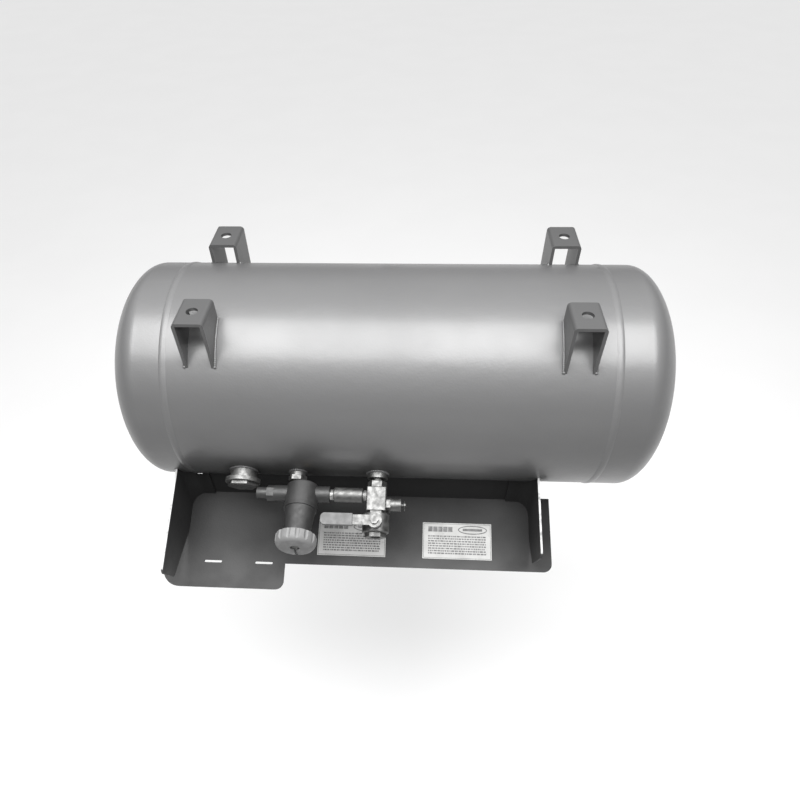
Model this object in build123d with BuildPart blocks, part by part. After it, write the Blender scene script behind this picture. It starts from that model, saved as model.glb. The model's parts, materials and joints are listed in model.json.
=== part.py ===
from build123d import *
import os
from math import cos, radians, sin

# Horizontal compressed-air receiver that hangs from four channel feet, with a sloping
# sheet-metal guard under its front side and a row of ports above the guard that feeds a
# regulator, a relief valve and a ball valve.
#
# Frame: origin in the middle of the four hanger bolts, on the top faces of the feet.
# +X runs along the receiver, -Y is the side with the ports, +Z is up. Millimetres.

os.makedirs("parts", exist_ok=True)

# ---------------------------------------------------------------- receiver
tank_radius = 152.4
tank_wall = 3.2
shell_length = 554.0
head_flange = 38.7
head_depth = 60.0
head_lip = 14.0
seam_width = 9.0
seam_rise = 1.0
seam_clearance = 0.5

# ---------------------------------------------------------------- hanger feet
foot_inset = 47.6
foot_spacing_x = shell_length - 2 * foot_inset
foot_spacing_y = 178.0
foot_width = 38.0
foot_length = 51.0
foot_wall = 4.0
foot_bend = 5.0
foot_rise = 14.0
foot_hole_radius = 7.15

# ---------------------------------------------------------------- guard
guard_slope = 25.0
guard_drop = 79.0
guard_sheet = 2.5
guard_overhang = 49.0
guard_setback = 43.0
guard_margin = 29.5
guard_back_inset = 35.4
guard_reach = 117.0
guard_corner = 12.0
tab_length = 178.0
tab_reach = 37.0
tab_corner = 26.0
slot_length = 26.0
slot_width = 3.2
slot_first = 72.0
slot_pitch = 75.0
side_bend = 20.0
side_flange = 34.0
side_setback = 10.0
side_corner = 9.0

# ---------------------------------------------------------------- labels on the guard
label_length = 99.0
label_width = 52.0
label_thickness = 0.4
label_reach = 77.0
rating_label_x = 100.0
caution_label_x = -52.5

# ---------------------------------------------------------------- ports
plug_inset = 77.0
spare_pitch = 76.0
outlet_pitch = 110.3
plug_port_x = plug_inset - shell_length / 2
spare_port_x = plug_port_x + spare_pitch
outlet_port_x = spare_port_x + outlet_pitch
boss_inside = 5.0

plug_boss_radius = 18.0
plug_boss_rise = 11.0
plug_thread_radius = 14.0
plug_thread_length = 14.0
plug_hex = 36.0
plug_height = 5.0
plug_flange_radius = 24.0
plug_flange_height = 6.0
edge_break = 1.0
seal_rim = 3.0
seal_thickness = 1.5

spare_boss_radius = 11.0
spare_boss_rise = 6.5
spare_hex = 22.0
spare_height = 7.0

outlet_boss_radius = 14.0
outlet_boss_rise = 8.0

pipe_radius = 6.85
pipe_bore = 4.6
pipe_depth = 10.0

# ---------------------------------------------------------------- manifold block
manifold_gap = 3.6
bushing_hex = 23.0
bushing_length = 9.0
bushing_socket = 7.0
manifold_width = 26.0
manifold_margin = 10.5
regulator_branch = 10.5
relief_branch = 22.5
branch_wall = 0.15
port_bore = 4.0

# ---------------------------------------------------------------- supply coupling
coupling_radius = 10.0
coupling_gap = 6.0

# ---------------------------------------------------------------- regulator
regulator_pitch = 102.3
regulator_x = outlet_port_x - regulator_pitch
regulator_tilt = 17.0
regulator_radius = 22.0
regulator_edge = 3.0
regulator_boss_radius = 11.0
regulator_boss_reach = 38.0
regulator_back = 11.5
regulator_front = 19.5
regulator_port_depth = 14.0
lower_chamber_radius = 9.0
lower_chamber_wall = 2.0
upper_chamber_rim = 5.0
seat_station = 8.0
seat_thickness = 3.0
seat_radius = 4.0
crossover_radius = 2.2
crossover_rim = 3.5
diaphragm_rim = 2.0
diaphragm_thickness = 1.2
diaphragm_plate_gap = 3.0
diaphragm_plate_thickness = 1.5
bonnet_height = 42.0
bonnet_flange = 5.0
bonnet_base_step = 1.5
bonnet_top_step = 5.0
bonnet_side_wall = 2.0
bonnet_top_wall = 5.0
nut_clearance = 0.1
nut_height = 5.0
nut_setback = 1.0
nut_travel = 3.0
collar_radius = 6.0
collar_thickness = 2.0
shank_radius = 4.0
thread_radius = 3.0
running_clearance = 0.05
spring_radius = 8.0
spring_wire = 0.75
spring_turns = 5
bottom_plug_hex = 16.0
bottom_plug_height = 3.0
bottom_plug_thread = 5.0
poppet_radius = 6.0
poppet_gap = 0.02
poppet_thickness = 3.0
poppet_stem_radius = 2.0
poppet_tail_radius = 3.0
poppet_tail_length = 14.0
guide_depth = 6.0
poppet_spring_radius = 5.0
poppet_spring_wire = 0.6
poppet_spring_turns = 4

# ---------------------------------------------------------------- regulator knob
knob_radius = 27.0
knob_length = 17.0
knob_rim = 8.0
knob_nose_radius = 19.0
knob_gap = 1.0
knob_hollow_radius = 19.5
knob_hollow_depth = 7.0
knob_recess_radius = 6.5
knob_recess_depth = 5.0
knob_grooves = 14
knob_groove_radius = 3.6
knob_groove_depth = 1.8
knob_edge = 1.5
knob_notch_width = 4.0
knob_notch_depth = 4.0
knob_screw_radius = 2.0
knob_screw_head = 5.0
knob_screw_head_height = 3.0
knob_screw_length = 9.0
knob_screw_slot = 1.2

# ---------------------------------------------------------------- regulator outlet adapter
adapter_hex = 19.0
adapter_hex_length = 10.0
adapter_radius = 8.0
adapter_length = 14.0
adapter_bore = 5.6

# ---------------------------------------------------------------- relief valve
relief_hex = 18.0
relief_hex_length = 6.0
relief_radius = 8.5
relief_length = 14.0
relief_bore = 6.0
relief_seat_radius = 3.0
relief_floor = 2.0
relief_cap_thickness = 3.5
relief_disc_radius = 5.0
relief_disc_thickness = 2.0
relief_stem_radius = 2.0
relief_eye_gap = 4.8
relief_eye_radius = 2.8
relief_eye_thickness = 3.0
relief_eye_hole = 1.2
relief_spring_radius = 3.9
relief_spring_wire = 0.4
relief_spring_turns = 4
ring_radius = 6.0
ring_wire = 0.8

# ---------------------------------------------------------------- ball valve
valve_hex = 25.0
valve_inlet_length = 3.5
valve_outlet_length = 5.5
valve_radius = 18.0
valve_floor = 2.5
valve_edge = 1.5
cavity_margin = 2.0
retainer_thread = 1.5
ball_radius = 9.5
ball_bore = 5.0
ball_clearance = 0.05
seat_backing = 1.0
ball_slot_width = 3.0
ball_slot_depth = 3.0
seat_ring_width = 3.4
stem_radius = 4.0
stem_end_radius = 3.0
stem_boss_radius = 9.0
stem_boss_height = 27.0
packing_radius = 6.0
packing_floor = 21.5
packing_height = 4.0
gland_hex = 14.0
gland_height = 3.0
lever_gap = 0.4
lever_thickness = 3.0
lever_width = 13.0
lever_corner = 6.0
lever_length = 69.0
lever_hub_radius = 9.5
grip_length = 42.0
grip_thickness = 1.5
grip_edge = 0.8
lever_nut_hex = 10.0
lever_nut_height = 4.0

# ---------------------------------------------------------------- frame and stations
# A station is a distance from the receiver's axis along the direction in which the ports
# point; the port plane holds the axis and that direction, and slopes with the guard.
axis_z = -(tank_radius + foot_rise)
slope_cos = cos(radians(guard_slope))
slope_sin = sin(radians(guard_slope))
port_direction = Vector(0, -slope_cos, -slope_sin)
lift_direction = Vector(0, -slope_sin, slope_cos)
axis_point = Vector(0, 0, axis_z)
regulator_slope = radians(guard_slope - regulator_tilt)
regulator_direction = Vector(0, -cos(regulator_slope), -sin(regulator_slope))
regulator_lift = Vector(0, -sin(regulator_slope), cos(regulator_slope))
outward = Axis(axis_point, port_direction)
regulator_axis = Axis(axis_point, regulator_direction)
lifted = Axis(axis_point, lift_direction)

bushing_base = tank_radius + outlet_boss_rise + manifold_gap
manifold_base = bushing_base + bushing_length
manifold_length = relief_branch + manifold_margin
branch_depth = manifold_width / 2 - pipe_radius - branch_wall
manifold_end = manifold_base + manifold_length
supply_station = manifold_base + regulator_branch
relief_station = manifold_base + relief_branch
diaphragm_station = supply_station + regulator_front
bonnet_station = diaphragm_station + diaphragm_thickness
bonnet_end = bonnet_station + bonnet_height
bonnet_ceiling = bonnet_end - bonnet_top_wall
nut_station = bonnet_ceiling - collar_thickness - nut_setback - nut_height
knob_station = bonnet_end + knob_gap
knob_end = knob_station + knob_length
knob_seat = knob_end - knob_recess_depth
valve_shoulder = manifold_end + valve_inlet_length
cavity_floor = valve_shoulder + valve_floor
ball_station = cavity_floor + seat_backing + ball_radius
retainer_face = ball_station + ball_radius + seat_backing
valve_body_end = retainer_face + retainer_thread
valve_cavity_radius = ball_radius + cavity_margin
valve_end = valve_body_end + valve_outlet_length
upper_chamber_radius = regulator_radius - upper_chamber_rim
crossover_offset = upper_chamber_radius - crossover_rim
diaphragm_radius = regulator_radius - diaphragm_rim
bonnet_base_radius = regulator_radius - bonnet_base_step
bonnet_top_radius = regulator_radius - bonnet_top_step
bonnet_hex = 2 * (bonnet_top_radius - bonnet_side_wall) * cos(radians(30))
diaphragm_plate_radius = bonnet_hex / 2 - diaphragm_plate_gap
guard_front = tank_radius + guard_reach
guard_left = -shell_length / 2 - guard_overhang
guard_right = shell_length / 2 - guard_setback


def port_plane(x, station, lift=0):
    """Plane across a port's axis: local X along the receiver, local Z outward."""
    origin = axis_point + Vector(x, 0, 0) + port_direction * station + lift_direction * lift
    return Plane(origin=origin, x_dir=(1, 0, 0), z_dir=port_direction)


def regulator_plane(station, offset=0, lift=0):
    """Plane across the regulator, which is turned up about its supply pipe."""
    pipe = axis_point + Vector(regulator_x + offset, 0, 0) + port_direction * supply_station
    origin = pipe + regulator_direction * (station - supply_station) + regulator_lift * lift
    return Plane(origin=origin, x_dir=(1, 0, 0), z_dir=regulator_direction)


def cross_plane(x, station):
    """Plane across a fitting that lies along +X: local X outward, local Y into the guard."""
    origin = axis_point + Vector(x, 0, 0) + port_direction * station
    return Plane(origin=origin, x_dir=port_direction, z_dir=(1, 0, 0))


def lift_plane(x, station, lift):
    """Plane parallel to the guard: local X along the receiver, local Z away from the guard."""
    origin = axis_point + Vector(x, 0, 0) + port_direction * station + lift_direction * lift
    return Plane(origin=origin, x_dir=(1, 0, 0), z_dir=lift_direction)


def side_plane(x):
    """Plane across the receiver: local X is the station, local Y the lift from the port plane."""
    return Plane(origin=(x, 0, axis_z), x_dir=port_direction, z_dir=(-1, 0, 0))


def save(builder, name):
    builder.part.label = name
    export_step(builder.part, f"parts/{name}.step")


def disc(plane, radius, length, mode=Mode.ADD):
    """Round bar or, subtracted, a drilled hole that starts on the plane."""
    with BuildSketch(plane) as profile:
        Circle(radius)
    extrude(profile.sketch, amount=length, mode=mode)


def bore(plane, radius, length):
    disc(plane, radius, length, Mode.SUBTRACT)


def hex_bar(plane, across_flats, length, mode=Mode.ADD):
    with BuildSketch(plane) as profile:
        RegularPolygon(across_flats / 2, 6, major_radius=False)
    extrude(profile.sketch, amount=length, mode=mode)


def block(plane, width, height, length, mode=Mode.ADD):
    with BuildSketch(plane) as profile:
        Rectangle(width, height)
    extrude(profile.sketch, amount=length, mode=mode)


def coil(plane, radius, wire, length, turns):
    """Compression spring between two flat faces, standing on the plane."""
    rise = length - 2 * wire
    with BuildLine() as path:
        Helix(rise / turns, rise, radius, center=plane.offset(wire).origin, direction=plane.z_dir)
    with BuildSketch(Plane(origin=path.line @ 0, z_dir=path.line % 0)) as profile:
        Circle(wire)
    sweep(profile.sketch, path=path.line)


def cope():
    """Trim what is welded to the receiver to its round side, clear of its two seams."""
    with BuildSketch(across) as profile:
        Circle(tank_radius)
    extrude(profile.sketch, amount=shell_length, both=True, mode=Mode.SUBTRACT)
    for seam in (-shell_length / 2, shell_length / 2):
        with BuildSketch(across.offset(seam)) as bead:
            Circle(tank_radius + seam_rise + seam_clearance)
        extrude(bead.sketch, amount=seam_width / 2 + seam_clearance, both=True, mode=Mode.SUBTRACT)


# ================================================================ receiver
across = Plane(origin=axis_point, x_dir=(0, 1, 0), z_dir=(1, 0, 0))
inner_radius = tank_radius - tank_wall
ports = [
    (plug_port_x, plug_boss_radius),
    (spare_port_x, spare_boss_radius),
    (outlet_port_x, outlet_boss_radius),
]

with BuildPart() as shell:
    with BuildSketch(across):
        Circle(tank_radius)
        Circle(inner_radius, mode=Mode.SUBTRACT)
    extrude(amount=shell_length / 2, both=True)
    for port_x, boss_radius in ports:
        bore(port_plane(port_x, inner_radius - tank_wall), boss_radius, 3 * tank_wall)
save(shell, "shell")


def head(name, mirrored):
    """Dished head whose lip slides inside the shell."""
    seam = shell_length / 2
    dish = seam + head_flange
    with BuildPart() as part:
        with BuildSketch(Plane(origin=axis_point, x_dir=(1, 0, 0), z_dir=(0, -1, 0))):
            with BuildLine():
                crown_out = (dish + head_depth, 0)
                crown_in = (dish + head_depth - tank_wall, 0)
                Line(crown_in, crown_out)
                EllipticalCenterArc((dish, 0), head_depth, tank_radius, arc_size=90)
                Line((dish, tank_radius), (seam, tank_radius))
                Line((seam, tank_radius), (seam, inner_radius))
                Line((seam, inner_radius), (seam - head_lip, inner_radius))
                Line((seam - head_lip, inner_radius), (seam - head_lip, inner_radius - tank_wall))
                Line((seam - head_lip, inner_radius - tank_wall), (seam, inner_radius - tank_wall))
                Line((seam, inner_radius - tank_wall), (seam + head_lip, inner_radius))
                Line((seam + head_lip, inner_radius), (dish, inner_radius))
                EllipticalCenterArc((dish, 0), head_depth - tank_wall, inner_radius, arc_size=90)
            make_face()
        revolve(axis=Axis(axis_point, (1, 0, 0)))
        if mirrored:
            mirror(about=Plane.YZ, mode=Mode.REPLACE)
    save(part, name)


head("head_left", True)
head("head_right", False)


def girth_weld(name, x):
    """Low weld bead round the seam between shell and head."""
    with BuildPart() as bead:
        with BuildSketch(Plane(origin=axis_point + Vector(x, 0, 0), x_dir=(1, 0, 0), z_dir=(0, -1, 0))):
            with BuildLine():
                Line((-seam_width / 2, tank_radius), (seam_width / 2, tank_radius))
                ThreePointArc(
                    (seam_width / 2, tank_radius),
                    (0, tank_radius + seam_rise),
                    (-seam_width / 2, tank_radius),
                )
            make_face()
        revolve(axis=Axis(axis_point, (1, 0, 0)))
    save(bead, name)


girth_weld("girth_weld_left", -shell_length / 2)
girth_weld("girth_weld_right", shell_length / 2)


# ================================================================ hanger feet
def foot(name, x, y):
    """Channel with its web on top and its legs coped to the receiver."""
    with BuildPart() as channel:
        with BuildSketch(Plane(origin=(x, y, 0), x_dir=(1, 0, 0), z_dir=(0, -1, 0))) as section:
            with Locations((0, -tank_radius / 2)):
                Rectangle(foot_width, tank_radius)
            fillet(section.vertices().group_by(Axis.Y)[-1], foot_bend)
            with Locations((0, -foot_wall - tank_radius / 2)):
                Rectangle(foot_width - 2 * foot_wall, tank_radius, mode=Mode.SUBTRACT)
        extrude(amount=foot_length / 2, both=True)
        cope()
        bore(Plane(origin=(x, y, -2 * foot_wall)), foot_hole_radius, 3 * foot_wall)
    save(channel, name)


foot("foot_front_left", -foot_spacing_x / 2, -foot_spacing_y / 2)
foot("foot_front_right", foot_spacing_x / 2, -foot_spacing_y / 2)
foot("foot_rear_left", -foot_spacing_x / 2, foot_spacing_y / 2)
foot("foot_rear_right", foot_spacing_x / 2, foot_spacing_y / 2)

# ================================================================ guard
# The floor slopes down to the front. The back wall is upright and rises to the receiver.
guard_back = tank_radius - guard_back_inset
back_station = (guard_back + guard_drop * slope_sin) / slope_cos
guard_rear = back_station - guard_sheet / slope_cos
side_left = guard_left + guard_margin
side_right = guard_right - guard_margin

with BuildPart() as guard_floor:
    with BuildSketch(lift_plane(0, 0, -guard_drop)) as plan:
        with BuildLine():
            Polyline(
                (guard_left, -guard_rear),
                (guard_left, -guard_front - tab_reach),
                (guard_left + tab_length, -guard_front - tab_reach),
                (guard_left + tab_length, -guard_front),
                (guard_right, -guard_front),
                (guard_right, -guard_rear),
                close=True,
            )
        make_face()
        fillet(plan.vertices().group_by(Axis.Y)[0].sort_by(Axis.X)[0], tab_corner)
        fillet(plan.vertices().group_by(Axis.Y)[0].sort_by(Axis.X)[-1], guard_corner)
        fillet(plan.vertices().group_by(Axis.X)[-1].sort_by(Axis.Y)[0], guard_corner)
        with Locations((guard_left + slot_first + slot_pitch / 2, -guard_front)):
            with GridLocations(slot_pitch, 0, 2, 1):
                SlotOverall(slot_length, slot_width, mode=Mode.SUBTRACT)
    extrude(amount=-guard_sheet)
save(guard_floor, "guard_floor")

with BuildPart() as guard_back_wall:
    with BuildSketch(side_plane(side_right - guard_sheet / 2)) as profile:
        with BuildLine():
            rise = Vector(-slope_sin, slope_cos) * tank_radius
            Polyline(
                (back_station, -guard_drop),
                (back_station + rise.X, -guard_drop + rise.Y),
                (guard_rear + rise.X, -guard_drop + rise.Y),
                (guard_rear, -guard_drop),
                close=True,
            )
        make_face()
    extrude(amount=side_right - side_left - guard_sheet)
    cope()
    split(bisect_by=Plane(origin=axis_point, z_dir=(0, 0, -1)))
save(guard_back_wall, "guard_back")


def guard_side(name, x, inward, reach):
    """Upright side sheet, coped to the receiver, whose flange turns onto the back wall."""
    with BuildPart() as side:
        with BuildSketch(Plane.XY) as plan:
            with BuildLine() as route:
                FilletPolyline(
                    (x, -2 * tank_radius - guard_reach),
                    (x, -guard_back - guard_sheet / 2),
                    (x + inward * side_flange, -guard_back - guard_sheet / 2),
                    radius=side_bend,
                )
            trace(route.line, line_width=guard_sheet)
        extrude(amount=2 * axis_z)
        with BuildSketch(side_plane(x)) as outline:
            with Locations((reach / 2, -guard_drop / 2)):
                Rectangle(reach, guard_drop)
            top_front = outline.vertices().group_by(Axis.X)[-1].sort_by(Axis.Y)[-1]
            fillet(top_front, side_corner)
        extrude(amount=2 * side_flange, both=True, mode=Mode.INTERSECT)
        cope()
    save(side, name)


guard_side("guard_side_left", side_left, 1, guard_front + tab_reach - side_setback)
guard_side("guard_side_right", side_right, -1, guard_front - side_setback)


def label(name, x):
    """Thin plate on the guard's floor."""
    with BuildPart() as plate:
        place = lift_plane(x, tank_radius + label_reach, -guard_drop)
        block(place, label_length, label_width, label_thickness)
    save(plate, name)


label("rating_label", rating_label_x)
label("caution_label", caution_label_x)


# ================================================================ ports
def port_boss(name, x, radius, rise, bore_radius):
    """Half coupling set into the shell and standing a little proud of it."""
    height = tank_wall + boss_inside + rise
    with BuildPart() as boss:
        disc(port_plane(x, tank_radius + rise), radius, -height)
        bore(port_plane(x, tank_radius + rise), bore_radius, -height)
    save(boss, name)


port_boss("plug_boss", plug_port_x, plug_boss_radius, plug_boss_rise, plug_thread_radius)
port_boss("spare_boss", spare_port_x, spare_boss_radius, spare_boss_rise, pipe_radius)
port_boss("outlet_boss", outlet_port_x, outlet_boss_radius, outlet_boss_rise, pipe_radius)

plug_face = tank_radius + plug_boss_rise
with BuildPart() as plug_seal:
    disc(port_plane(plug_port_x, plug_face), plug_thread_radius + seal_rim, seal_thickness)
    bore(port_plane(plug_port_x, plug_face), plug_thread_radius, seal_thickness)
save(plug_seal, "plug_seal")

plug_seat = plug_face + seal_thickness
with BuildPart() as inspection_plug:
    disc(port_plane(plug_port_x, plug_seat), plug_flange_radius, plug_flange_height)
    fillet(inspection_plug.edges().group_by(outward)[-1], edge_break)
    hex_bar(port_plane(plug_port_x, plug_seat + plug_flange_height), plug_hex, plug_height)
    top_edges = inspection_plug.edges().filter_by(GeomType.LINE).group_by(outward)[-1]
    chamfer(top_edges, edge_break)
    disc(port_plane(plug_port_x, plug_seat), plug_thread_radius, -plug_thread_length)
save(inspection_plug, "inspection_plug")

spare_face = tank_radius + spare_boss_rise
with BuildPart() as spare_plug:
    hex_bar(port_plane(spare_port_x, spare_face), spare_hex, spare_height)
    chamfer(spare_plug.edges().filter_by(GeomType.LINE).group_by(outward)[-1], edge_break)
    disc(port_plane(spare_port_x, spare_face), pipe_radius, -pipe_depth)
save(spare_plug, "spare_plug")

with BuildPart() as outlet_nipple:
    nipple_start = bushing_base - manifold_gap - pipe_depth
    nipple_length = manifold_gap + pipe_depth + bushing_socket
    disc(port_plane(outlet_port_x, nipple_start), pipe_radius, nipple_length)
    bore(port_plane(outlet_port_x, nipple_start), pipe_bore, nipple_length)
save(outlet_nipple, "outlet_nipple")

with BuildPart() as outlet_bushing:
    hex_bar(port_plane(outlet_port_x, bushing_base), bushing_hex, bushing_length)
    chamfer(outlet_bushing.edges().filter_by(GeomType.LINE).group_by(outward)[0], edge_break)
    disc(port_plane(outlet_port_x, manifold_base), pipe_radius, branch_depth)
    bore(port_plane(outlet_port_x, bushing_base), pipe_radius, bushing_socket)
    bore(port_plane(outlet_port_x, bushing_base), port_bore, bushing_length + branch_depth)
save(outlet_bushing, "outlet_bushing")

# ================================================================ manifold block
manifold_left = outlet_port_x - manifold_width / 2
manifold_right = outlet_port_x + manifold_width / 2
with BuildPart() as manifold_block:
    block(port_plane(outlet_port_x, manifold_base), manifold_width, manifold_width, manifold_length)
    chamfer(manifold_block.edges(), edge_break)
    bore(port_plane(outlet_port_x, manifold_base), port_bore, manifold_length)
    bore(port_plane(outlet_port_x, manifold_base), pipe_radius, branch_depth)
    bore(port_plane(outlet_port_x, manifold_end), pipe_radius, -pipe_depth)
    bore(cross_plane(manifold_left, supply_station), pipe_radius, branch_depth)
    bore(cross_plane(manifold_left, supply_station), port_bore, manifold_width / 2)
    bore(cross_plane(manifold_right, relief_station), pipe_radius, -branch_depth)
    bore(cross_plane(manifold_right, relief_station), port_bore, -manifold_width / 2)
save(manifold_block, "manifold_block")

# ================================================================ supply coupling
regulator_inlet = regulator_x + regulator_boss_reach
coupling_left = regulator_inlet + coupling_gap
coupling_right = manifold_left - coupling_gap
coupling_length = coupling_right - coupling_left


def supply_nipple(name, left, left_depth, right_depth):
    """Short threaded pipe that bridges the gap between two sockets."""
    length = left_depth + coupling_gap + right_depth
    with BuildPart() as nipple:
        disc(cross_plane(left - left_depth, supply_station), pipe_radius, length)
        bore(cross_plane(left - left_depth, supply_station), pipe_bore, length)
    save(nipple, name)


supply_nipple("supply_nipple_left", regulator_inlet, pipe_depth, pipe_depth)
supply_nipple("supply_nipple_right", coupling_right, pipe_depth, branch_depth)

with BuildPart() as supply_coupling:
    disc(cross_plane(coupling_left, supply_station), coupling_radius, coupling_length)
    chamfer(supply_coupling.edges(), edge_break)
    bore(cross_plane(coupling_left, supply_station), pipe_radius, coupling_length)
save(supply_coupling, "supply_coupling")

# ================================================================ regulator
body_back = supply_station - regulator_back
body_length = regulator_back + regulator_front
seat_face = supply_station + seat_station
port_end = regulator_boss_reach - regulator_port_depth

with BuildPart() as regulator_body:
    disc(regulator_plane(body_back), regulator_radius, body_length)
    fillet(regulator_body.edges().group_by(regulator_axis)[0], regulator_edge)
    boss_plane = cross_plane(regulator_x - regulator_boss_reach, supply_station)
    disc(boss_plane, regulator_boss_radius, 2 * regulator_boss_reach)
    bore(regulator_plane(body_back), lower_chamber_radius, seat_face - body_back)
    bore(regulator_plane(seat_face), seat_radius, seat_thickness)
    bore(regulator_plane(seat_face + seat_thickness), upper_chamber_radius, body_length)
    bore(cross_plane(regulator_inlet, supply_station), pipe_radius, -regulator_port_depth)
    bore(cross_plane(regulator_x + port_end, supply_station), port_bore, -port_end)
    outlet_face = regulator_x - regulator_boss_reach
    outlet_depth = regulator_boss_reach - lower_chamber_radius - lower_chamber_wall
    bore(cross_plane(outlet_face, supply_station), pipe_radius, outlet_depth)
    crossover = regulator_plane(supply_station, -crossover_offset)
    bore(crossover, crossover_radius, seat_station + 2 * seat_thickness)
save(regulator_body, "regulator_body")

with BuildPart() as bottom_plug:
    hex_bar(regulator_plane(body_back), bottom_plug_hex, -bottom_plug_height)
    disc(regulator_plane(body_back), lower_chamber_radius, bottom_plug_thread)
    plug_top = body_back + bottom_plug_thread
    bore(regulator_plane(plug_top), poppet_tail_radius + running_clearance, -guide_depth)
save(bottom_plug, "bottom_plug")

with BuildPart() as poppet:
    stem_length = diaphragm_station - seat_face - poppet_gap
    disc(regulator_plane(seat_face), poppet_radius, -poppet_thickness)
    disc(regulator_plane(seat_face), poppet_stem_radius, stem_length)
    tail = poppet_tail_length - poppet_thickness
    disc(regulator_plane(seat_face - poppet_thickness), poppet_tail_radius, -tail)
save(poppet, "poppet")

with BuildPart() as poppet_spring:
    rest_height = seat_face - poppet_thickness - plug_top
    base = regulator_plane(plug_top)
    coil(base, poppet_spring_radius, poppet_spring_wire, rest_height, poppet_spring_turns)
save(poppet_spring, "poppet_spring")

with BuildPart() as diaphragm:
    disc(regulator_plane(diaphragm_station), diaphragm_radius, diaphragm_thickness)
save(diaphragm, "diaphragm")

with BuildPart() as diaphragm_plate:
    disc(regulator_plane(bonnet_station), diaphragm_plate_radius, diaphragm_plate_thickness)
save(diaphragm_plate, "diaphragm_plate")

with BuildPart() as bonnet:
    cavity = bonnet_height - bonnet_top_wall
    disc(regulator_plane(diaphragm_station), regulator_radius, bonnet_flange + diaphragm_thickness)
    with BuildSketch(regulator_plane(bonnet_station + bonnet_flange)):
        Circle(bonnet_base_radius)
    with BuildSketch(regulator_plane(bonnet_end)):
        Circle(bonnet_top_radius)
    loft()
    bore(regulator_plane(diaphragm_station), diaphragm_radius, diaphragm_thickness)
    hex_bar(regulator_plane(bonnet_station), bonnet_hex, cavity, Mode.SUBTRACT)
    bore(regulator_plane(bonnet_ceiling), shank_radius + running_clearance, bonnet_top_wall)
save(bonnet, "regulator_bonnet")

with BuildPart() as adjusting_screw:
    collar_face = bonnet_ceiling - 2 * running_clearance
    screw_start = nut_station - nut_travel
    disc(regulator_plane(screw_start), thread_radius, collar_face - screw_start)
    disc(regulator_plane(collar_face), collar_radius, -collar_thickness)
    disc(regulator_plane(collar_face), shank_radius, knob_seat - collar_face)
    bore(regulator_plane(knob_seat), knob_screw_radius, -knob_screw_length)
save(adjusting_screw, "adjusting_screw")

with BuildPart() as spring_nut:
    hex_bar(regulator_plane(nut_station), bonnet_hex - 2 * nut_clearance, nut_height)
    bore(regulator_plane(nut_station), thread_radius + running_clearance, nut_height)
save(spring_nut, "spring_nut")

with BuildPart() as regulating_spring:
    plate_top = bonnet_station + diaphragm_plate_thickness
    coil(regulator_plane(plate_top), spring_radius, spring_wire, nut_station - plate_top, spring_turns)
save(regulating_spring, "regulating_spring")

# ================================================================ regulator knob
with BuildPart() as knob:
    back = regulator_plane(knob_station)
    with BuildSketch(Plane(origin=back.origin, x_dir=(1, 0, 0), z_dir=-regulator_lift)):
        with BuildLine():
            Polyline((0, knob_length), (0, 0), (knob_radius, 0), (knob_radius, knob_rim))
            EllipticalCenterArc(
                (knob_nose_radius, knob_rim),
                knob_radius - knob_nose_radius,
                knob_length - knob_rim,
                arc_size=90,
            )
            Line((knob_nose_radius, knob_length), (0, knob_length))
        make_face()
    revolve(axis=Axis(back.origin, regulator_direction))
    fillet(knob.edges().group_by(regulator_axis)[0], knob_edge)
    with BuildSketch(back):
        with PolarLocations(knob_radius + knob_groove_radius - knob_groove_depth, knob_grooves):
            Circle(knob_groove_radius)
    extrude(amount=knob_length, mode=Mode.SUBTRACT)
    bore(regulator_plane(knob_end), knob_recess_radius, -knob_recess_depth)
    notch = regulator_plane(knob_end, 0, -knob_radius / 2)
    block(notch, knob_notch_width, knob_radius, -knob_notch_depth, Mode.SUBTRACT)
    bore(back, knob_hollow_radius, knob_hollow_depth)
    bore(back, shank_radius, knob_length)
save(knob, "regulator_knob")

with BuildPart() as knob_screw:
    disc(regulator_plane(knob_seat), knob_screw_head, knob_screw_head_height)
    disc(regulator_plane(knob_seat), knob_screw_radius, -knob_screw_length)
    slot_plane = regulator_plane(knob_seat + knob_screw_head_height)
    block(slot_plane, 2 * knob_screw_head, knob_screw_slot, -knob_screw_slot, Mode.SUBTRACT)
save(knob_screw, "knob_screw")

# ================================================================ regulator outlet adapter
with BuildPart() as outlet_adapter:
    disc(cross_plane(outlet_face, supply_station), pipe_radius, pipe_depth)
    hex_bar(cross_plane(outlet_face, supply_station), adapter_hex, -adapter_hex_length)
    disc(cross_plane(outlet_face - adapter_hex_length, supply_station), adapter_radius, -adapter_length)
    adapter_end = outlet_face - adapter_hex_length - adapter_length
    bore(cross_plane(adapter_end, supply_station), adapter_bore, adapter_length)
    bore(cross_plane(adapter_end, supply_station), port_bore, outlet_face + pipe_depth - adapter_end)
save(outlet_adapter, "outlet_adapter")

# ================================================================ relief valve
relief_shoulder = manifold_right + relief_hex_length
relief_end = relief_shoulder + relief_length
relief_seat = relief_shoulder + relief_floor
cap_start = relief_end - relief_cap_thickness
eye_x = relief_end + relief_eye_gap

with BuildPart() as relief_body:
    disc(cross_plane(manifold_right - branch_depth, relief_station), pipe_radius, branch_depth)
    hex_bar(cross_plane(manifold_right, relief_station), relief_hex, relief_hex_length)
    disc(cross_plane(relief_shoulder, relief_station), relief_radius, relief_length)
    bore(cross_plane(manifold_right - branch_depth, relief_station), relief_seat_radius, relief_seat)
    bore(cross_plane(relief_seat, relief_station), relief_bore, relief_length)
save(relief_body, "relief_body")

with BuildPart() as relief_cap:
    disc(cross_plane(cap_start, relief_station), relief_bore, relief_cap_thickness)
    stem_hole = relief_stem_radius + running_clearance
    bore(cross_plane(cap_start, relief_station), stem_hole, relief_cap_thickness)
save(relief_cap, "relief_cap")

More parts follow.
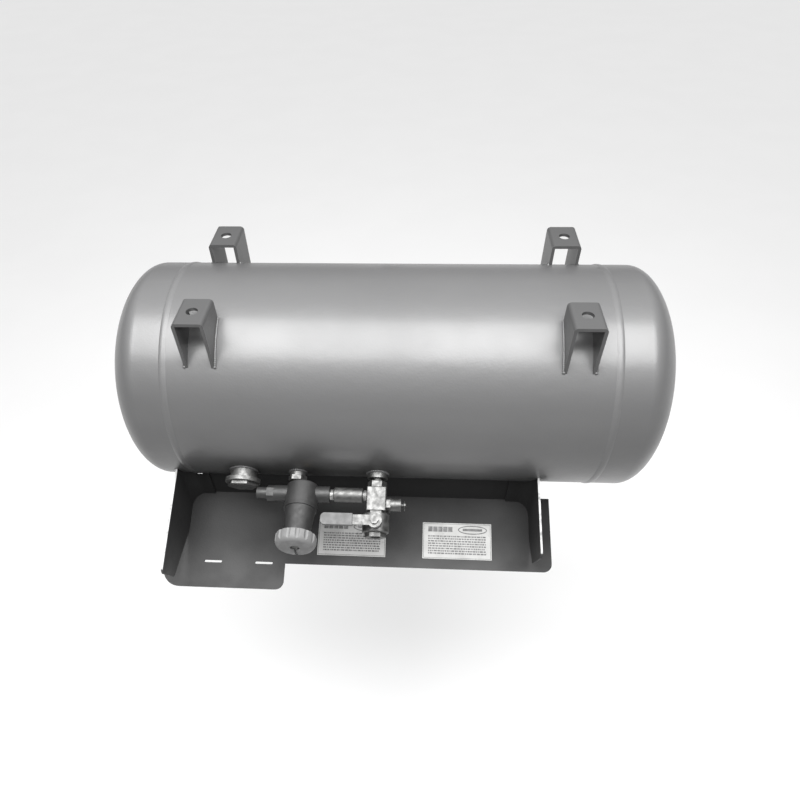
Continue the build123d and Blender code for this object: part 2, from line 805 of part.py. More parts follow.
with BuildPart() as relief_stem:
    disc(cross_plane(relief_seat, relief_station), relief_disc_radius, relief_disc_thickness)
    disc(cross_plane(relief_seat, relief_station), relief_stem_radius, eye_x - relief_seat)
    eye_face = port_plane(eye_x, relief_station - relief_eye_thickness / 2)
    disc(eye_face, relief_eye_radius, relief_eye_thickness)
    stem_side = port_plane(eye_x, relief_station - 2 * relief_stem_radius)
    bore(stem_side, relief_eye_hole, 4 * relief_stem_radius)
save(relief_stem, "relief_stem")

with BuildPart() as relief_spring:
    disc_face = relief_seat + relief_disc_thickness
    base = cross_plane(disc_face, relief_station)
    coil(base, relief_spring_radius, relief_spring_wire, cap_start - disc_face, relief_spring_turns)
save(relief_spring, "relief_spring")

with BuildPart() as pull_ring:
    ring_centre = port_plane(eye_x, relief_station, -ring_radius)
    eye = port_plane(eye_x, relief_station).origin
    with BuildSketch(Plane(origin=eye, x_dir=lift_direction, z_dir=port_direction)):
        Circle(ring_wire)
    revolve(axis=Axis(ring_centre.origin, (1, 0, 0)))
save(pull_ring, "pull_ring")

# ================================================================ ball valve
with BuildPart() as valve_body:
    disc(port_plane(outlet_port_x, manifold_end), pipe_radius, -pipe_depth)
    hex_bar(port_plane(outlet_port_x, manifold_end), valve_hex, valve_inlet_length)
    disc(port_plane(outlet_port_x, valve_shoulder), valve_radius, valve_body_end - valve_shoulder)
    fillet(valve_body.edges().group_by(outward)[-1], valve_edge)
    disc(lift_plane(outlet_port_x, ball_station, 0), stem_boss_radius, stem_boss_height)
    bore(port_plane(outlet_port_x, manifold_end - pipe_depth), ball_bore, 2 * pipe_depth)
    bore(port_plane(outlet_port_x, cavity_floor), valve_cavity_radius, valve_radius + ball_radius)
    bore(lift_plane(outlet_port_x, ball_station, 0), stem_radius + running_clearance, stem_boss_height)
    bore(lift_plane(outlet_port_x, ball_station, packing_floor), packing_radius, stem_boss_height)
save(valve_body, "valve_body")

with BuildPart() as valve_retainer:
    hex_bar(port_plane(outlet_port_x, valve_body_end), valve_hex, valve_outlet_length)
    disc(port_plane(outlet_port_x, retainer_face), valve_cavity_radius, valve_body_end - retainer_face)
    bore(port_plane(outlet_port_x, retainer_face), ball_bore, valve_end - retainer_face)
    bore(port_plane(outlet_port_x, valve_end), pipe_radius, -valve_outlet_length)
save(valve_retainer, "valve_retainer")


def seat_ring(name, face, direction):
    """Soft ring between the ball and the end of the cavity, hollowed to the ball."""
    with BuildPart() as ring:
        disc(port_plane(outlet_port_x, face), valve_cavity_radius, direction * seat_ring_width)
        bore(port_plane(outlet_port_x, face), ball_bore, direction * seat_ring_width)
        with Locations(port_plane(outlet_port_x, ball_station)):
            Sphere(ball_radius + ball_clearance, mode=Mode.SUBTRACT)
    save(ring, name)


seat_ring("inlet_seat", cavity_floor, 1)
seat_ring("outlet_seat", retainer_face, -1)

with BuildPart() as ball:
    with Locations(port_plane(outlet_port_x, ball_station)):
        Sphere(ball_radius)
    bore(cross_plane(outlet_port_x - ball_radius, ball_station), ball_bore, 2 * ball_radius)
    block(
        lift_plane(outlet_port_x, ball_station, ball_radius - ball_slot_depth),
        2 * ball_radius,
        ball_slot_width,
        ball_radius,
        Mode.SUBTRACT,
    )
save(ball, "ball")

lever_lift = stem_boss_height + gland_height + lever_gap
nut_lift = lever_lift + lever_thickness
with BuildPart() as valve_stem:
    disc(lift_plane(outlet_port_x, ball_station, ball_radius), stem_radius, lever_lift - ball_radius)
    stem_end = lever_thickness + lever_nut_height
    disc(lift_plane(outlet_port_x, ball_station, lever_lift), stem_end_radius, stem_end)
    block(
        lift_plane(outlet_port_x, ball_station, ball_radius),
        2 * stem_radius,
        ball_slot_width,
        -ball_slot_depth,
    )
save(valve_stem, "valve_stem")

stem_bore = stem_radius + running_clearance
with BuildPart() as stem_packing:
    disc(lift_plane(outlet_port_x, ball_station, packing_floor), packing_radius, packing_height)
    bore(lift_plane(outlet_port_x, ball_station, packing_floor), stem_bore, packing_height)
save(stem_packing, "stem_packing")

with BuildPart() as gland_nut:
    packing_top = packing_floor + packing_height
    gland_length = stem_boss_height + gland_height - packing_top
    disc(lift_plane(outlet_port_x, ball_station, packing_top), packing_radius, gland_length)
    hex_bar(lift_plane(outlet_port_x, ball_station, stem_boss_height), gland_hex, gland_height)
    bore(lift_plane(outlet_port_x, ball_station, packing_top), stem_bore, gland_length)
save(gland_nut, "gland_nut")

with BuildPart() as lever:
    with BuildSketch(lift_plane(outlet_port_x, ball_station, lever_lift)):
        Circle(lever_hub_radius)
        with Locations((-lever_length / 2, 0)):
            Rectangle(lever_length, lever_width)
        Circle(stem_end_radius, mode=Mode.SUBTRACT)
    extrude(amount=lever_thickness)
    fillet(lever.edges().filter_by(lifted).sort_by(Axis.X)[:2], lever_corner)
save(lever, "lever")

with BuildPart() as lever_grip:
    grip_centre = outlet_port_x - lever_length + grip_length / 2 - grip_thickness
    grip_plane = lift_plane(grip_centre, ball_station, lever_lift - grip_thickness)
    block(grip_plane, grip_length, lever_width + 2 * grip_thickness, lever_thickness + 2 * grip_thickness)
    fillet(lever_grip.edges().filter_by(lifted).sort_by(Axis.X)[:2], lever_corner)
    fillet(lever_grip.faces().sort_by(lifted)[-1].edges(), grip_edge)
    add(lever.part, mode=Mode.SUBTRACT)
save(lever_grip, "lever_grip")

with BuildPart() as lever_nut:
    hex_bar(lift_plane(outlet_port_x, ball_station, nut_lift), lever_nut_hex, lever_nut_height)
    bore(lift_plane(outlet_port_x, ball_station, nut_lift), stem_end_radius, lever_nut_height)
save(lever_nut, "lever_nut")
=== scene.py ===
import json
import math
import random

import bpy
from mathutils import Matrix, Vector


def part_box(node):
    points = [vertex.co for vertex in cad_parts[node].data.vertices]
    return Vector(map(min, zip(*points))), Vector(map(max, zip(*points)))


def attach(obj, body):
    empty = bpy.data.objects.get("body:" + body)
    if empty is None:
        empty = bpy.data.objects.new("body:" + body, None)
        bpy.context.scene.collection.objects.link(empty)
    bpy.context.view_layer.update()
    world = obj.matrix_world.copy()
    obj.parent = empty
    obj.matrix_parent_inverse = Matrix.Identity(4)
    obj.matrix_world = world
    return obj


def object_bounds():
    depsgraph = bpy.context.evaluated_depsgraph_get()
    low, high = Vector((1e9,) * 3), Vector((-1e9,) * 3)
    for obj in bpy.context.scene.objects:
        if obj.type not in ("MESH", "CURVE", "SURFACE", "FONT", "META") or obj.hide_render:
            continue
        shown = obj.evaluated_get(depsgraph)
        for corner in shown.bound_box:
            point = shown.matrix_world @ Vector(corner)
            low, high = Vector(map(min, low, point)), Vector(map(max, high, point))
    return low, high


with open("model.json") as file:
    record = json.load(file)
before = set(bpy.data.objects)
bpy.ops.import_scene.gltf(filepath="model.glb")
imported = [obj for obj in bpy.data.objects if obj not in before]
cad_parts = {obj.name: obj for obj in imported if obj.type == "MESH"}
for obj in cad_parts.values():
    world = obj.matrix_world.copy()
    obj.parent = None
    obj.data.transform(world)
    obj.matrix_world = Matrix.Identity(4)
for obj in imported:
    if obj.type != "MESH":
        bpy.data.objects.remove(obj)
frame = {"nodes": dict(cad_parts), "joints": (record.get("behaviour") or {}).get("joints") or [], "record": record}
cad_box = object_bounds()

MM = 0.001
random.seed(7)

# ---------------------------------------------------------------- the frame's own places
MOUNTS = {mount["name"]: mount for mount in frame["record"]["mounts"]}
JOINTS = {joint["name"]: joint for joint in frame["joints"]}
ALONG = Vector((1, 0, 0))
OUTWARD = Vector(MOUNTS["valve_outlet"]["axis"])
LIFT = Vector(JOINTS["lever_turn"]["axis"])
SLOPE = math.atan2(-OUTWARD.z, -OUTWARD.y)

shell_low, shell_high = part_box("shell")
RADIUS = (shell_high.z - shell_low.z) / 2
AXIS_Z = (shell_high.z + shell_low.z) / 2
TANK_CENTRE = Vector((0, 0, AXIS_Z))
KNOB_CENTRE = Vector(JOINTS["knob_turn"]["pos_m"])


def port_point(x, station, lift=0.0):
    """A point from its place along the receiver, its distance from the axis and its lift."""
    return TANK_CENTRE + ALONG * x + OUTWARD * station + LIFT * lift


def station_of(point):
    """How far a point lies from the receiver's axis, towards where the ports point."""
    return (Vector(point) - TANK_CENTRE).dot(OUTWARD)


# ---------------------------------------------------------------- camera
# The eye is given in shell radii from the receiver's middle.
EYE = TANK_CENTRE + Vector((0.237, -4.430, 3.823)) * RADIUS
HEADING = math.radians(-4.82)
TILT = math.radians(46.43)
ROLL = math.radians(-2.26)
SENSOR_WIDTH = 36
FOCAL_LENGTH = 27.5
LENS_SHIFT = (0.0256, 0.0419)


def add_camera():
    """The camera at the eye, turned by the heading, the tilt and the roll."""
    camera = bpy.data.objects.new("camera", bpy.data.cameras.new("camera"))
    bpy.context.scene.collection.objects.link(camera)
    reach = math.cos(TILT)
    gaze = Vector((math.sin(HEADING) * reach, math.cos(HEADING) * reach, -math.sin(TILT)))
    level = gaze.cross(Vector((0, 0, 1))).normalized()
    above = level.cross(gaze)
    right = math.cos(ROLL) * level + math.sin(ROLL) * above
    up = right.cross(gaze)
    turn = Matrix((right, up, -gaze)).transposed().to_4x4()
    camera.matrix_world = Matrix.Translation(EYE) @ turn
    camera.data.sensor_width = SENSOR_WIDTH
    camera.data.lens = FOCAL_LENGTH
    camera.data.shift_x, camera.data.shift_y = LENS_SHIFT
    camera.data.clip_start = 0.01
    camera.data.clip_end = 20
    bpy.context.scene.camera = camera


# ---------------------------------------------------------------- light and floor
DOME_LOW, DOME_HIGH = 0.2, 1.15
DOME_DARK_BELOW, DOME_FULL_ABOVE = 0.15, 0.9
SOFTBOX_PLACE = TANK_CENTRE + Vector((0.0, -0.30, 0.85))
SOFTBOX_SIZE = (1.5, 0.6)
SOFTBOX_POWER = 32
FLOOR_SPAN = 40.0
FLOOR_DROP = 0.9


def area_light(name, place, aim, size, power):
    """Soft rectangular lamp at a place, aimed at a point."""
    data = bpy.data.lights.new(name, "AREA")
    data.shape = "RECTANGLE"
    data.size, data.size_y = size
    data.energy = power
    lamp = bpy.data.objects.new(name, data)
    turn = (aim - place).to_track_quat("-Z", "Y").to_matrix().to_4x4()
    lamp.matrix_world = Matrix.Translation(place) @ turn
    bpy.context.scene.collection.objects.link(lamp)


def add_studio():
    """A dome that is brighter overhead and one broad softbox above the receiver."""
    world = bpy.data.worlds.new("studio")
    world.use_nodes = True
    tree = world.node_tree
    direction = tree.nodes.new("ShaderNodeTexCoord").outputs["Generated"]
    split = tree.nodes.new("ShaderNodeSeparateXYZ")
    dome = tree.nodes.new("ShaderNodeMapRange")
    dome.interpolation_type = "SMOOTHSTEP"
    dome.inputs["From Min"].default_value = DOME_DARK_BELOW
    dome.inputs["From Max"].default_value = DOME_FULL_ABOVE
    dome.inputs["To Min"].default_value = DOME_LOW
    dome.inputs["To Max"].default_value = DOME_HIGH
    tree.links.new(direction, split.inputs[0])
    tree.links.new(split.outputs["Z"], dome.inputs["Value"])
    tree.links.new(dome.outputs["Result"], tree.nodes["Background"].inputs["Strength"])
    tree.nodes["Background"].inputs["Color"].default_value = (1, 1, 1, 1)
    bpy.context.scene.world = world
    bpy.context.scene.view_settings.view_transform = "Standard"
    area_light("softbox", SOFTBOX_PLACE, TANK_CENTRE, SOFTBOX_SIZE, SOFTBOX_POWER)


def add_floor():
    """A pale floor well below the receiver."""
    low = cad_box[0]
    span = FLOOR_SPAN
    mesh = bpy.data.meshes.new("floor")
    corners = [(-span, -span, 0), (span, -span, 0), (span, span, 0), (-span, span, 0)]
    mesh.from_pydata(corners, [], [(0, 1, 2, 3)])
    floor = bpy.data.objects.new("floor", mesh)
    floor.location.z = low[2] - FLOOR_DROP
    bpy.context.scene.collection.objects.link(floor)
    mesh.materials.append(floor_material())


# ---------------------------------------------------------------- material building
class Shader:
    """A principled material whose colour, roughness and bump are built from noise."""

    def __init__(self, name, colour, roughness, metallic=0.0, coat=0.0):
        self.material = bpy.data.materials.new(name)
        self.material.use_nodes = True
        self.tree = self.material.node_tree
        self.shader = self.tree.nodes["Principled BSDF"]
        self.colour = (*colour, 1.0)
        self.shader.inputs["Base Color"].default_value = self.colour
        self.shader.inputs["Roughness"].default_value = roughness
        self.shader.inputs["Metallic"].default_value = metallic
        self.shader.inputs["Coat Weight"].default_value = coat
        self.shader.inputs["Coat Roughness"].default_value = 0.25
        self.place = self.tree.nodes.new("ShaderNodeTexCoord").outputs["Object"]
        self.paint = None
        self.height = None

    def node(self, kind, **values):
        """A new node of this kind, with these properties."""
        made = self.tree.nodes.new(kind)
        for key, value in values.items():
            setattr(made, key, value)
        return made

    def noise(self, per_metre, detail=3.0, stretch=(1, 1, 1), roughness=0.5):
        """Noise from 0 to 1 with about this many features a metre."""
        mapping = self.node("ShaderNodeMapping")
        mapping.inputs["Scale"].default_value = stretch
        noise = self.node("ShaderNodeTexNoise")
        noise.inputs["Scale"].default_value = per_metre
        noise.inputs["Detail"].default_value = detail
        noise.inputs["Roughness"].default_value = roughness
        self.tree.links.new(self.place, mapping.inputs["Vector"])
        self.tree.links.new(mapping.outputs["Vector"], noise.inputs["Vector"])
        return noise.outputs["Fac"]

    def ramp(self, source, low, high, out_low=0.0, out_high=1.0):
        """The source's stretch from low to high, spread from out_low to out_high."""
        mapped = self.node("ShaderNodeMapRange")
        mapped.interpolation_type = "SMOOTHSTEP"
        mapped.inputs["From Min"].default_value = low
        mapped.inputs["From Max"].default_value = high
        mapped.inputs["To Min"].default_value = out_low
        mapped.inputs["To Max"].default_value = out_high
        self.tree.links.new(source, mapped.inputs["Value"])
        return mapped.outputs["Result"]

    def tint(self, mask, colour):
        """Lays a colour over the paint where the mask is 1."""
        mix = self.node("ShaderNodeMix", data_type="RGBA")
        if self.paint is None:
            mix.inputs[6].default_value = self.colour
        else:
            self.tree.links.new(self.paint, mix.inputs[6])
        mix.inputs[7].default_value = (*colour, 1.0)
        self.tree.links.new(mask, mix.inputs[0])
        self.paint = mix.outputs[2]
        self.tree.links.new(self.paint, self.shader.inputs["Base Color"])

    def vary_roughness(self, source, low, high):
        """Roughness from low to high with the source."""
        self.tree.links.new(self.ramp(source, 0.3, 0.7, low, high), self.shader.inputs["Roughness"])

    def bump(self, source, depth, strength=1.0):
        """Relief of this depth in metres, added to what is there."""
        bump = self.node("ShaderNodeBump")
        bump.inputs["Distance"].default_value = depth
        bump.inputs["Strength"].default_value = strength
        self.tree.links.new(source, bump.inputs["Height"])
        if self.height is not None:
            self.tree.links.new(self.height, bump.inputs["Normal"])
        self.height = bump.outputs["Normal"]
        self.tree.links.new(self.height, self.shader.inputs["Normal"])

    def near(self, centre, reach, edge=0.35):
        """1 within reach of a place, falling to 0 over the edge share of the reach."""
        offset = self.node("ShaderNodeVectorMath", operation="DISTANCE")
        offset.inputs[1].default_value = centre
        self.tree.links.new(self.place, offset.inputs[0])
        return self.ramp(offset.outputs["Value"], reach * (1 - edge), reach, 1.0, 0.0)

    def along(self, direction):
        """Distance from the receiver's middle along a direction."""
        offset = self.node("ShaderNodeVectorMath", operation="SUBTRACT")
        offset.inputs[1].default_value = TANK_CENTRE
        run = self.node("ShaderNodeVectorMath", operation="DOT_PRODUCT")
        run.inputs[1].default_value = direction
        self.tree.links.new(self.place, offset.inputs[0])
        self.tree.links.new(offset.outputs["Vector"], run.inputs[0])
        return run.outputs["Value"]

    def both(self, first, second):
        """The product of two masks."""
        product = self.node("ShaderNodeMath", operation="MULTIPLY")
        self.tree.links.new(first, product.inputs[0])
        self.tree.links.new(second, product.inputs[1])
        return product.outputs["Value"]


def floor_material():
    """Pale, slightly clouded floor."""
    look = Shader("pale_floor", (0.93, 0.93, 0.93), 0.9)
    look.tint(look.ramp(look.noise(3, 2), 0.3, 0.7), (0.92, 0.92, 0.92))
    return look.material


def enamel(name, grey, roughness, wear=0.5, coat=0.4):
    """Sprayed enamel: orange peel, slight clouding, dust and small chips."""
    look = Shader(name, (grey, grey, grey * 1.01), roughness, coat=coat)
    cloud = look.noise(6, 4)
    look.tint(look.ramp(cloud, 0.35, 0.75), (grey * 0.86, grey * 0.86, grey * 0.87))
    streak = look.noise(14, 5, stretch=(1, 3, 3))
    look.tint(look.ramp(streak, 0.62, 0.8, 0, 0.35 * wear), (grey * 1.25, grey * 1.25, grey * 1.24))
    chip = look.noise(190, 4, roughness=0.7)
    look.tint(look.ramp(chip, 0.72, 0.76, 0, 0.7 * wear), (grey * 0.4, grey * 0.4, grey * 0.4))
    look.vary_roughness(cloud, roughness * 0.85, roughness * 1.2)
    look.bump(look.noise(420, 2), 0.00012)
    look.bump(look.noise(40, 3), 0.0004)
    return look


def plated(name, grey, roughness, grain=900):
    """Turned and zinc plated steel, with tool marks and a faint dull bloom."""
    look = Shader(name, (grey, grey, grey * 0.985), roughness, metallic=0.9)
    look.tint(look.ramp(look.noise(90, 4), 0.45, 0.75), (grey * 0.78, grey * 0.78, grey * 0.77))
    specks = look.ramp(look.noise(400, 3), 0.66, 0.74, 0, 0.6)
    look.tint(specks, (grey * 0.35, grey * 0.34, grey * 0.33))
    look.vary_roughness(look.noise(160, 3), roughness * 0.8, roughness * 1.35)
    look.bump(look.noise(grain, 2), 0.00006)
    return look


def moulded(name, grey, roughness, grain=1400, depth=0.00008):
    """Moulded plastic or rubber with a fine matt texture and handling marks."""
    look = Shader(name, (grey, grey, grey), roughness)
    look.tint(look.ramp(look.noise(60, 4), 0.5, 0.8, 0, 0.6), (grey * 0.7, grey * 0.7, grey * 0.7))
    look.vary_roughness(look.noise(120, 3), roughness * 0.85, min(1.0, roughness * 1.2))
    look.bump(look.noise(grain, 3), depth)
    return look


def brass_look(name):
    """Turned brass, a little tarnished."""
    look = Shader(name, (0.62, 0.5, 0.27), 0.32, metallic=1.0)
    look.tint(look.ramp(look.noise(120, 4), 0.5, 0.8), (0.4, 0.31, 0.15))
    look.vary_roughness(look.noise(200, 3), 0.25, 0.45)
    look.bump(look.noise(900, 2), 0.00005)
    return look


# ---------------------------------------------------------------- looks of the CAD nodes
# Painted reflection and shade: the dark patches round each port boss stand in for the fittings mirrored in the
# paint and shading it, and reach this far. The same dark grey also marks the real scuff near the top.
PAINTED_FITTING_REFLECTION_REACH = {"plug_boss": 0.075, "spare_boss": 0.095, "outlet_boss": 0.07}
PAINTED_FITTING_REFLECTION_EDGE = 0.85
REFLECTION_AND_SCUFF_DARK = (0.035, 0.035, 0.035)
SCUFF_PLACE = TANK_CENTRE + Vector((0.0, 0.35, 0.93)) * RADIUS
SCUFF_REACH, SCUFF_EDGE = 0.03, 0.8
NICK_PLACE = TANK_CENTRE + Vector((1.78, 0.30, 0.95)) * RADIUS
NICK_REACH, NICK_EDGE = 0.0035, 0.4
# Painted shade on the guard: the stations past the knob's middle where its darker back gives way to the lighter,
# clouded front.
PAINTED_SHADE_FADE_START, PAINTED_SHADE_FADE_END = -0.03, 0.06
BARE_EDGE_LIFT, BARE_EDGE_FULL = -0.0012, -0.0004


def tank_look():
    """Satin grey enamel with painted reflection and shade of the fittings round the ports, rubbed near the top and
    nicked at a shoulder.
    """
    look = enamel("tank_paint", 0.075, 0.42, 0.35)
    # Painted reflection and shade of the fittings: clouded dark patches round each port boss.
    reflection_blotch = look.ramp(look.noise(16, 4), 0.32, 0.62)
    for name, reach in PAINTED_FITTING_REFLECTION_REACH.items():
        low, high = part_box(name)
        look.tint(look.both(look.near((low + high) / 2, reach, PAINTED_FITTING_REFLECTION_EDGE), reflection_blotch), REFLECTION_AND_SCUFF_DARK)
    scratches = look.ramp(look.noise(260, 4, (1, 3, 3)), 0.5, 0.6)
    look.tint(look.both(look.near(SCUFF_PLACE, SCUFF_REACH, SCUFF_EDGE), scratches), REFLECTION_AND_SCUFF_DARK)
    look.tint(look.near(NICK_PLACE, NICK_REACH, NICK_EDGE), (0.03, 0.03, 0.03))
    return look.material


def guard_look():
    """Dark enamel with painted shade: darker towards the back, under the receiver, and lightened with clouded grey
    towards the front; worn bare along the side sheets' tops.
    """
    look = enamel("guard_paint", 0.016, 0.6, 0.6, coat=0.0)
    look.shader.inputs["Specular IOR Level"].default_value = 0.2
    # Painted shade: the guard stays darker towards the back, under the receiver, and is lightened with a clouded
    # grey towards the front.
    station = look.along(OUTWARD)
    front = station_of(KNOB_CENTRE)
    out_of_painted_shade = look.ramp(station, front + PAINTED_SHADE_FADE_START, front + PAINTED_SHADE_FADE_END)
    painted_front_light = look.both(out_of_painted_shade, look.ramp(look.noise(22, 4), 0.2, 0.7, 0.5, 1))
    look.tint(painted_front_light, (0.06, 0.06, 0.06))
    edge = look.ramp(look.along(LIFT), BARE_EDGE_LIFT, BARE_EDGE_FULL)
    look.tint(look.both(edge, look.ramp(look.noise(120, 4), 0.3, 0.5, 0.4, 1)), (0.4, 0.4, 0.4))
    return look.material


def dress_cad_nodes():
    """Gives every CAD node its finish."""
    tank = tank_look()
    guard = guard_look()
    foot = enamel("foot_paint", 0.04, 0.55, 0.8).material
    steel = plated("plated_steel", 0.13, 0.48).material
    seam = weld_look("seam_weld", 0.08).material
    cast = moulded("cast_black", 0.018, 0.5, 500, 0.0002).material
    paper = paper_look("label_paper").material
    finishes = {
        "shell": tank,
        "head_left": tank,
        "head_right": tank,
        "girth_weld_left": seam,
        "girth_weld_right": seam,
        "regulator_body": cast,
        "outlet_adapter": cast,
        "regulator_bonnet": moulded("bonnet_black", 0.014, 0.55).material,
        "regulator_knob": moulded("knob_grey", 0.13, 0.55).material,
        "lever_grip": moulded("grip_grey", 0.07, 0.5).material,
        "rating_label": paper,
        "caution_label": paper,
    }
    dark_rubber = moulded("dark_rubber", 0.03, 0.7).material
    pale_seat = moulded("pale_seat", 0.7, 0.5).material
    brass = brass_look("brass").material
    for name in ("diaphragm", "plug_seal", "stem_packing"):
        finishes[name] = dark_rubber
    for name in ("inlet_seat", "outlet_seat"):
        finishes[name] = pale_seat
    for name in ("poppet", "spring_nut", "bottom_plug"):
        finishes[name] = brass
    for name, node in frame["nodes"].items():
        if name.startswith("foot_"):
            finishes[name] = foot
        if name.startswith("guard_"):
            finishes[name] = guard
        node.data.materials.clear()
        node.data.materials.append(finishes.get(name, steel))


def paper_look(name):
    """Aged paper, dulled and stained."""
    look = Shader(name, (0.27, 0.27, 0.265), 0.65)
    look.tint(look.ramp(look.noise(25, 4), 0.45, 0.8, 0, 0.8), (0.22, 0.22, 0.215))
    look.tint(look.ramp(look.noise(180, 5), 0.62, 0.7, 0, 0.5), (0.17, 0.17, 0.165))
    look.vary_roughness(look.noise(50, 2), 0.45, 0.65)
    look.bump(look.noise(1500, 2), 0.00003)
    return look


def weld_look(name, grey):
    """Painted weld metal, rougher than the sheet beside it."""
    look = enamel(name, grey, 0.45, 0.9)
    look.bump(look.noise(700, 3), 0.0003)
    return look


# ---------------------------------------------------------------- mesh helpers
def mesh_piece(name, vertices, faces, material, smooth=True):
    """A new piece that rides on the receiver."""
    mesh = bpy.data.meshes.new(name)
    mesh.from_pydata([tuple(v) for v in vertices], [], faces)
    mesh.materials.append(material)
    for face in mesh.polygons:
        face.use_smooth = smooth
    mesh.update()
    piece = bpy.data.objects.new(name, mesh)
    bpy.context.scene.collection.objects.link(piece)
    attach(piece, "receiver")


def swept(points, radii, sides=10, closed=False):
    """Vertices and faces of a round bar through the points, with a radius at each."""
    vertices, faces = [], []
    count = len(points)
    for i, point in enumerate(points):
        before = points[i - 1] if closed or i > 0 else points[i]
        after = points[(i + 1) % count] if closed or i < count - 1 else points[i]
        run = (after - before).normalized()
        side = run.cross(Vector((0.31, 0.17, 0.93))).normalized()
        other = run.cross(side)
        for k in range(sides):
            turn = 2 * math.pi * k / sides
            vertices.append(point + (side * math.cos(turn) + other * math.sin(turn)) * radii[i])
    rings = count if closed else count - 1
    for i in range(rings):
        for k in range(sides):
            a, b = i * sides, ((i + 1) % count) * sides
            faces.append((a + k, a + (k + 1) % sides, b + (k + 1) % sides, b + k))
    if not closed:
        faces.append(tuple(range(sides))[::-1])
        faces.append(tuple(range((count - 1) * sides, count * sides)))
    return vertices, faces


def bead(name, route, material, radius=0.0021, ripple=0.0026, closed=False):
    """Hand-laid weld bead: a bar with a ripple, a little uneven in width."""
    points, radii, travelled = [], [], 0.0
    for i, point in enumerate(route):
        if i:
            travelled += (point - route[i - 1]).length
        wave = abs(math.sin(math.pi * travelled / ripple))
        wobble = 0.06 * math.sin(travelled * 170) + 0.05 * math.sin(travelled * 61 + 1)
        points.append(point)
        radii.append(radius * (0.86 + 0.2 * wave + wobble))
    vertices, faces = swept(points, radii, BEAD_SIDES, closed)
    mesh_piece(name, vertices, faces, material)


# ---------------------------------------------------------------- welds
BEAD_SIDES = 8
FOOT_STEPS, RING_STEPS, GUARD_STEPS = 90, 150, 120
GUARD_WELD_START, GUARD_WELD_END = math.radians(0), math.radians(31)
GUARD_BEAD_RADIUS = 0.0018


def tank_top(x, y):
    """The point on the receiver's upper side above this plan place."""
    return Vector((x, y, AXIS_Z + math.sqrt(max(0.0, RADIUS**2 - y**2))))


def foot_welds(material):
    """A bead on the receiver along the outside of each leg."""
    for name in ("foot_front_left", "foot_front_right", "foot_rear_left", "foot_rear_right"):
        low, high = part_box(name)
        for side, x in (("left", low.x), ("right", high.x)):
            depth = high.y - low.y
            route = [tank_top(x, low.y + depth * i / FOOT_STEPS) for i in range(FOOT_STEPS + 1)]
            bead(f"weld_{name}_{side}", route, material)


def ring_weld(name, centre, radius, material):
    """Bead where a round boss that points along the ports meets the receiver."""
    route = []
    for i in range(RING_STEPS):
        turn = 2 * math.pi * i / RING_STEPS
        across, lift = radius * math.cos(turn), radius * math.sin(turn)
        station = math.sqrt(RADIUS**2 - lift**2)
        route.append(port_point(centre + across, station, lift))
    bead(name, route, material, closed=True)


def boss_welds(material):
    """A ring weld round each port's boss."""
    for name in ("plug_boss", "spare_boss", "outlet_boss"):
        low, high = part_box(name)
        ring_weld(f"weld_{name}", (low.x + high.x) / 2, (high.x - low.x) / 2, material)


def guard_welds(material):
    """Beads where the guard's side sheets meet the receiver."""
    for side in ("left", "right"):
        low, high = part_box(f"guard_side_{side}")
        x = low.x if side == "left" else high.x
        route = []
        for i in range(GUARD_STEPS + 1):
            turn = GUARD_WELD_START + (GUARD_WELD_END - GUARD_WELD_START) * i / GUARD_STEPS
            route.append(port_point(x, RADIUS * math.cos(turn), -RADIUS * math.sin(turn)))
        bead(f"weld_guard_{side}", route, material, GUARD_BEAD_RADIUS)


def add_welds():
    """Every weld bead, in one painted finish."""
    look = weld_look("weld_bead", 0.07).material
    foot_welds(look)
    boss_welds(look)
    guard_welds(look)


# ---------------------------------------------------------------- label print
# Millimetres on the label. Places are from its top left corner.
LABEL_THICKNESS = 0.4
INK_LIFT = 0.05
BORDER_INSET, BORDER_LINE = 1.2, 0.6
TEXT_INSET = 8
HEADING_BLOCKS, HEADING_PITCH, HEADING_DOWN = 5, 7.2, 13
HEADING_BLOCK = (6.3, 7.5)
OVAL_ALONG, OVAL_DOWN = 72, 9.5
OVAL_HALVES = (21, 6.5)
OVAL_LINE = 1.6
OVAL_BAR_ALONG, OVAL_BAR_DOWN = 58, 11.2
OVAL_BAR = (28, 3.6)
ROWS, ROW_PITCH, ROW_DOWN, ROW_HEIGHT = 8, 3.5, 20.5, 2.1


def label_frame(name):
    """Middle of a label's top face, and its length and width."""
    low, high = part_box(name)
    thickness = LABEL_THICKNESS * MM
    width = (high.y - low.y - thickness * math.sin(SLOPE)) / math.cos(SLOPE)
    middle = (low + high) / 2 + LIFT * (thickness / 2)
    return middle, high.x - low.x, width


